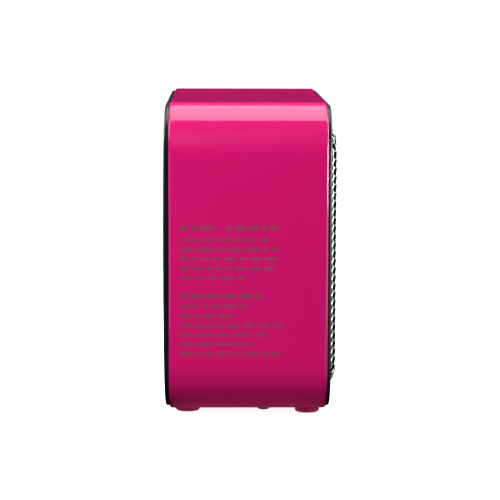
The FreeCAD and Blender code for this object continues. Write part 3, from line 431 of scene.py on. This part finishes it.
def grille_rise(inset):
    """Height of the rib crests over the bezel: a straight bevel that rounds off into the flat field."""
    start, slope, blend = 1.0 * MM, 0.58, 0.9 * MM
    crest = BEZEL_FRONT - GRILLE_LOW.y
    shoulder = (crest - start) / slope
    if inset <= shoulder - blend:
        return start + slope * inset
    if inset >= shoulder + blend:
        return crest
    return crest - slope * (shoulder + blend - inset) ** 2 / (4 * blend)


def honeycomb_grille(silver, black):
    """Pressed honeycomb: a thin plated face with rounded ribs on a deeper black core, whose black cell walls
    are partly the body's own colour and partly painted shade inside the holes.
    """
    cap, core, seam = 0.15 * MM, 1.4 * MM, 0.02 * MM
    round_off = 0.20 * MM
    honeycomb_sheet("honeycomb_face", 0.0, round_off, cap, silver, ["grille_mesh"])
    # The black core darkens the cell walls below the plated face: partly the body's own black, partly painted
    # shade in the holes.
    honeycomb_sheet("honeycomb_black_core_and_shade", cap + seam, round_off, core, black)


def honeycomb_sheet(name, depth, round_off, thickness, material, replaces=()):
    """One closed layer of the honeycomb, `depth` below the rib crests."""
    pitch, zigzag_rib, cross_rib, margin = 6.0 * MM, 0.68 * MM, 0.5 * MM, 0.15 * MM
    column_step = 1.5 * pitch / math.sqrt(3)
    size = GRILLE_HIGH - GRILLE_LOW
    middle = (GRILLE_LOW + GRILLE_HIGH) / 2
    ring = rounded_ring(size.x - 2 * margin, size.z - 2 * margin, GRILLE_CORNER - margin, 0, Vector(), 10)
    outline = [(point.x, point.z) for point in ring]
    digits = 6
    work = bmesh.new()
    known = {}

    def vertex(x, z, drop):
        key = (round(x, digits), round(z, digits), round(drop, digits))
        if key not in known:
            y = BEZEL_FRONT - grille_rise(max(grille_inset(x, z, size), 0)) + depth + drop
            known[key] = work.verts.new((middle.x + x, y, middle.z + z))
        return known[key]

    rings = []
    for share, drop in ((0, 0.0), (0.5, 0.2 * round_off), (1, round_off)):
        reaches = [pitch / 2 - share * (cross_rib if turn % 3 == 1 else zigzag_rib) / 2 for turn in range(6)]
        rings.append((reaches, hexagon(reaches), drop))
    columns = int(size.x / 2 / column_step) + 1
    rows = int(size.z / 2 / pitch) + 1
    for column in range(-columns, columns + 1):
        for row in range(-rows, rows + 1):
            centre = (column_step * column, pitch * (row + (0.5 if column % 2 else 0)))
            for turn in range(6):
                for outer, inner in zip(rings, rings[1:]):
                    add_rib_strip(vertex, work, outline, centre, turn, outer, inner)
    close_sheet(work, thickness)
    mesh = bpy.data.meshes.new(name)
    work.to_mesh(mesh)
    work.free()
    finish_piece(name, mesh, material, "grille", replaces, sharp=55)


def hexagon(reaches):
    """Corners of a cell whose six sides lie at the given distances from its middle."""
    corners = []
    for turn in range(6):
        first, second = math.radians(60 * turn - 30), math.radians(60 * turn + 30)
        x = reaches[turn - 1] * math.sin(second) - reaches[turn] * math.sin(first)
        z = reaches[turn] * math.cos(first) - reaches[turn - 1] * math.cos(second)
        corners.append((x / math.sin(second - first), z / math.sin(second - first)))
    return corners


def add_rib_strip(vertex, work, outline, centre, turn, outer, inner):
    """One trapezoid of a cell's rib, cut where it passes the grille's outline."""
    outer_reaches, outer_corners, outer_drop = outer
    inner_reaches, inner_corners, inner_drop = inner
    after = (turn + 1) % 6
    strip = (outer_corners[turn], outer_corners[after], inner_corners[after], inner_corners[turn])
    kept = clip_to_outline([(centre[0] + x, centre[1] + z) for x, z in strip], outline)
    if not kept:
        return
    angle = math.radians(60 * turn + 30)
    near, far = inner_reaches[turn], outer_reaches[turn]
    points = []
    for x, z in kept:
        reach = (x - centre[0]) * math.cos(angle) + (z - centre[1]) * math.sin(angle)
        share = min(max((reach - near) / (far - near), 0), 1)
        points.append(vertex(x, z, inner_drop + (outer_drop - inner_drop) * share))
    unique = list(dict.fromkeys(points))
    if len(unique) >= 3 and work.faces.get(unique) is None:
        work.faces.new(unique)


def close_sheet(work, gauge):
    """Give the open front surface a back and walls round every hole."""
    bmesh.ops.remove_doubles(work, verts=work.verts, dist=10 * MERGE)
    copy = bmesh.ops.duplicate(work, geom=list(work.faces))
    back_verts = [item for item in copy["geom"] if isinstance(item, bmesh.types.BMVert)]
    back_faces = [item for item in copy["geom"] if isinstance(item, bmesh.types.BMFace)]
    back = set(back_verts)
    for item in back_verts:
        item.co.y += gauge
    bmesh.ops.reverse_faces(work, faces=back_faces)
    rims = [edge for edge in work.edges if len(edge.link_faces) == 1]
    twin = copy["vert_map"]
    for edge in rims:
        first, second = edge.verts
        if first not in back:
            work.faces.new((first, second, twin[second], twin[first]))


# ---------------------------------------------------------------- feet and screws

def feet(material):
    """Moulded feet: a dished sole with a rounded edge, and a small chamfer against the shell."""
    overlap, edge = 0.05 * MM, 1.3 * MM
    for name in ("foot_front_left", "foot_front_right", "foot_rear_left", "foot_rear_right"):
        low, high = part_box(name)
        centre = Vector(((low.x + high.x) / 2, (low.y + high.y) / 2, 0))
        radius = (high.x - low.x) / 2
        top = BAND_LOW.z + overlap
        profile = [(radius - 3.4 * MM, 0.5 * MM), (radius - 2.6 * MM, 0.02 * MM), (radius - 1.9 * MM, 0.0)]
        profile += [(radius - edge + out, edge + along) for out, along in quarter_arc(edge, 8, -90)]
        profile += [(radius, top * 0.8), (radius - 0.3 * MM, top)]
        vertices, faces = lathe(profile, centre)
        new_piece(f"{name}_sole", vertices, faces, material, "housing", [name], sharp=40)


def pan_head(name, centre, axis, radius, height, material, replaces):
    """A domed screw head with a cross recess, sitting on the plane through its centre."""
    seat_share, brim_share, shoulder, tip_share = 0.97, 0.12, 0.35, 0.06
    profile = [(radius * seat_share, 0.0), (radius, height * brim_share)]
    for angle in range(0, 90, 10):
        outwards, upwards = math.cos(math.radians(angle)), math.sin(math.radians(angle))
        profile.append((radius * outwards ** 0.5, height * (shoulder + (1 - shoulder) * upwards)))
    profile.append((radius * tip_share, height))
    vertices, faces = lathe(profile, centre, axis, steps=48)
    piece = new_piece(name, vertices, faces, material, "housing", replaces, sharp=40)
    cut_recess(piece, centre, axis, radius, height)


def cut_recess(piece, centre, axis, radius, height):
    """Cut a cross into a screw head, and take out the faces without area that the cut leaves."""
    arm_length, arm_width, arm_depth = radius * 1.05, radius * 0.26, height * 1.1
    turn = axis.normalized().to_track_quat("Z", "Y")
    place = Matrix.Translation(centre) @ turn.to_matrix().to_4x4() @ Matrix.Translation((0, 0, height))
    size = Matrix.Diagonal((arm_length, arm_width, arm_depth, 1))
    arms = bmesh.new()
    for angle in (0, 90):
        spin = Matrix.Rotation(math.radians(angle), 4, "Z")
        bmesh.ops.create_cube(arms, size=1, matrix=place @ spin @ size)
    cutter_mesh = bpy.data.meshes.new("cross")
    arms.to_mesh(cutter_mesh)
    arms.free()
    cutter = bpy.data.objects.new("cross", cutter_mesh)
    bpy.context.scene.collection.objects.link(cutter)
    cut = piece.modifiers.new("recess", "BOOLEAN")
    cut.operation = "DIFFERENCE"
    cut.solver = "EXACT"
    cut.use_self = True
    cut.object = cutter
    piece.modifiers.move(1, 0)
    bpy.context.view_layer.update()
    depsgraph = bpy.context.evaluated_depsgraph_get()
    piece.modifiers["weighted"].show_viewport = False
    result = bpy.data.meshes.new_from_object(piece.evaluated_get(depsgraph))
    piece.modifiers.remove(cut)
    piece.modifiers["weighted"].show_viewport = True
    clean = bmesh.new()
    clean.from_mesh(result)
    bmesh.ops.remove_doubles(clean, verts=clean.verts, dist=MERGE)
    bmesh.ops.dissolve_degenerate(clean, edges=clean.edges, dist=MERGE)
    clean.to_mesh(result)
    clean.free()
    piece.data = result
    piece.data.set_sharp_from_angle(angle=math.radians(35))
    bpy.data.objects.remove(cutter)


def base_screws(material):
    """The two heads under the shell, which point down."""
    low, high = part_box("base_screws")
    radius = (high.y - low.y) / 2
    middle_y = (low.y + high.y) / 2
    seat = BAND_LOW.z + 0.05 * MM
    for number, x in enumerate((low.x + radius, high.x - radius)):
        pan_head(f"base_screw_{number}", Vector((x, middle_y, seat)), -UP, radius, seat - low.z,
                 material, ["base_screws"])


def rear_screws(material):
    """The four heads at the corners of the rear panel, which point backwards."""
    low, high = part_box("rear_screws")
    radius, height = 3.2 * MM, 2.0 * MM
    for across, x in enumerate((low.x + radius, high.x - radius)):
        for up, z in enumerate((low.z + radius, high.z - radius)):
            pan_head(f"rear_screw_{across}_{up}", Vector((x, high.y - height, z)), Vector((0, 1, 0)), radius,
                     height, material, ["rear_screws"])


# ---------------------------------------------------------------- room

def soft_box(name, place, target, size, power, seen_by=("diffuse", "glossy")):
    """A rectangular light, kept out of the picture; `seen_by` names the kinds of light that it gives."""
    data = bpy.data.lights.new(name, "AREA")
    data.shape = "RECTANGLE"
    data.size, data.size_y = size
    data.energy = power
    light = bpy.data.objects.new(name, data)
    light.location = place
    light.rotation_euler = (Vector(target) - Vector(place)).to_track_quat("-Z", "Y").to_euler()
    light.visible_camera = False
    light.visible_diffuse = "diffuse" in seen_by
    light.visible_glossy = "glossy" in seen_by
    bpy.context.scene.collection.objects.link(light)


def lights():
    """Soft light from four sides and above, and panels that draw the highlights on gloss and steel."""
    top_bend = (-0.12, 0, 0.215)
    soft_box("key", (-0.80, 0.21, 0.75), (-0.14, 0, 0.13), (0.5, 0.5), 10.8, ["diffuse"])
    soft_box("top", (0.55, 0.0, 1.0), (0, 0, 0.2), (0.6, 0.6), 15.5, ["diffuse"])
    soft_box("front", (0.30, -1.2, 0.70), (0.05, -0.06, 0.12), (0.7, 0.6), 11)
    soft_box("far_side", (1.1, 0.3, 0.75), (0.14, 0, 0.13), (0.6, 0.6), 13, ["diffuse"])
    soft_box("back", (0.25, 1.3, 0.75), (0.05, 0.06, 0.12), (0.7, 0.6), 11)
    soft_box("overhead_far", (0.871, 0.0, 1.274), top_bend, (2.2, 0.310), 4.4, ["glossy"])
    soft_box("overhead_middle", (0.572, 0.0, 1.489), top_bend, (2.2, 0.433), 10.0, ["glossy"])
    soft_box("overhead_near", (0.039, 0.0, 1.656), top_bend, (2.2, 0.707), 22.6, ["glossy"])
    soft_box("lip_panel_high", (-0.36, -0.40, 0.228), (-0.36, 0, 0.228), (0.48, 0.225), 6.3, ["glossy"])
    soft_box("lip_panel_low", (-0.36, -0.40, 0.058), (-0.36, 0, 0.058), (0.48, 0.11), 0.56, ["glossy"])
    soft_box("lip_floor", (-0.36, -0.25, 0.0004), (-0.36, -0.25, 1), (0.48, 0.30), 0.36, ["glossy"])
    soft_box("grille_panel", (0.26, -0.40, 0.21), (0.26, 0, 0.21), (0.68, 0.38), 0.55, ["glossy"])
    soft_box("grille_floor", (0.10, -0.25, 0.0004), (0.10, -0.25, 1), (0.40, 0.30), 0.07, ["glossy"])
    soft_box("rear_lip_panel", (-0.36, 0.40, 0.11), (-0.36, 0, 0.11), (0.48, 0.21), 0.32, ["glossy"])
    soft_box("floor_glow", (-0.40, 0.0, 0.002), (-0.40, 0, 1), (0.5, 0.7), 0.45, ["diffuse"])
    soft_box("under_glow", (0.0, 0.0, 0.0005), (0, 0, 1), (0.28, 0.112), 0.052, ["diffuse"])
    soft_box("under_sheen", (0.0, 0.0, 0.0004), (0, 0, 1), (0.28, 0.112), 0.003, ["glossy"])


def room():
    """Pale floor, kept out of light and reflections, and a plain pale backdrop."""
    mesh = bpy.data.meshes.new("floor")
    reach = 40
    corners = [(-reach, -reach, 0), (reach, -reach, 0), (reach, reach, 0), (-reach, reach, 0)]
    mesh.from_pydata(corners, [], [(0, 1, 2, 3)])
    floor = bpy.data.objects.new("floor", mesh)
    bpy.context.scene.collection.objects.link(floor)
    material, tree, shader = shader_tree("pale_floor")
    tone = two_tone(tree, between(tree, noise(tree, 3), 0, 1), (0.86, 0.86, 0.86), (0.84, 0.84, 0.84))
    tree.links.new(tone, shader.inputs["Base Color"])
    shader.inputs["Roughness"].default_value = 0.9
    shader.inputs["Specular IOR Level"].default_value = 0.1
    shader.inputs["Emission Color"].default_value = (1, 1, 1, 1)
    shader.inputs["Emission Strength"].default_value = 0.90
    mesh.materials.append(material)
    floor.visible_glossy = False
    floor.visible_diffuse = False
    world_light()


def world_light():
    """White to the camera; for light and reflections a faint dome that is nearly dark at the horizon."""
    dark_below, darkest, brightest = 0.15, 0.012, 0.32
    world = bpy.data.worlds.new("room")
    bpy.context.scene.world = world
    world.use_nodes = True
    tree = world.node_tree
    tree.nodes.clear()
    output = tree.nodes.new("ShaderNodeOutputWorld")
    dome = tree.nodes.new("ShaderNodeBackground")
    backdrop = tree.nodes.new("ShaderNodeBackground")
    backdrop.inputs["Color"].default_value = (1, 1, 1, 1)
    place = tree.nodes.new("ShaderNodeTexCoord")
    split = tree.nodes.new("ShaderNodeSeparateXYZ")
    rise = tree.nodes.new("ShaderNodeMapRange")
    rise.inputs["From Min"].default_value = dark_below
    rise.inputs["To Min"].default_value = darkest
    rise.inputs["To Max"].default_value = brightest
    tree.links.new(place.outputs["Generated"], split.inputs["Vector"])
    tree.links.new(split.outputs["Z"], rise.inputs["Value"])
    tree.links.new(rise.outputs["Result"], dome.inputs["Strength"])
    path = tree.nodes.new("ShaderNodeLightPath")
    mix = tree.nodes.new("ShaderNodeMixShader")
    tree.links.new(path.outputs["Is Camera Ray"], mix.inputs["Fac"])
    tree.links.new(dome.outputs["Background"], mix.inputs[1])
    tree.links.new(backdrop.outputs["Background"], mix.inputs[2])
    tree.links.new(mix.outputs["Shader"], output.inputs["Surface"])


def camera():
    """A long lens, nearly square on to the flank and a little above it."""
    data = bpy.data.cameras.new("camera")
    data.sensor_width = 36
    data.lens = 145.2
    data.clip_end = 200
    yaw, pitch, roll = (math.radians(angle) for angle in (0.888, 7.262, 0.159))
    away, aside, height = 1.428, 0.0211, 0.3035
    ahead = Vector((math.cos(pitch) * math.cos(yaw), -math.cos(pitch) * math.sin(yaw), -math.sin(pitch)))
    right = Vector((-math.sin(yaw), -math.cos(yaw), 0))
    above = right.cross(ahead)
    tilted_right = right * math.cos(roll) + above * math.sin(roll)
    tilted_above = above * math.cos(roll) - right * math.sin(roll)
    eye = Vector((BAND_LOW.x - away, BAND_MIDDLE.y + aside, BAND_LOW.z + height))
    viewer = bpy.data.objects.new("camera", data)
    rotation = Matrix((tilted_right, tilted_above, -ahead)).transposed()
    viewer.matrix_world = Matrix.Translation(eye) @ rotation.to_4x4()
    bpy.context.scene.collection.objects.link(viewer)
    bpy.context.scene.camera = viewer


# ---------------------------------------------------------------- scene

def dress_cad_nodes(materials):
    """Give every CAD node that stays its material and clean shading."""
    slots = {entry["node"]: entry["material_slot"] for entry in frame["record"]["subparts"]}
    for name, node in frame["nodes"].items():
        node.data.materials.clear()
        node.data.materials.append(materials[slots[name]])
        shade(node, sharp=30)


def main():
    """Camera, light and room first, then the looks of every piece."""
    camera()
    lights()
    room()
    bpy.context.scene.view_settings.view_transform = "Standard"
    materials = make_materials()
    dress_cad_nodes(materials)
    band_shell(materials["band_gloss"])
    printed_bars(materials["print_ink"])
    honeycomb_grille(materials["grille_silver"], materials["cap_black"])
    feet(materials["foot_magenta"])
    base_screws(materials["screw_chrome"])
    rear_screws(materials["steel"])


main()
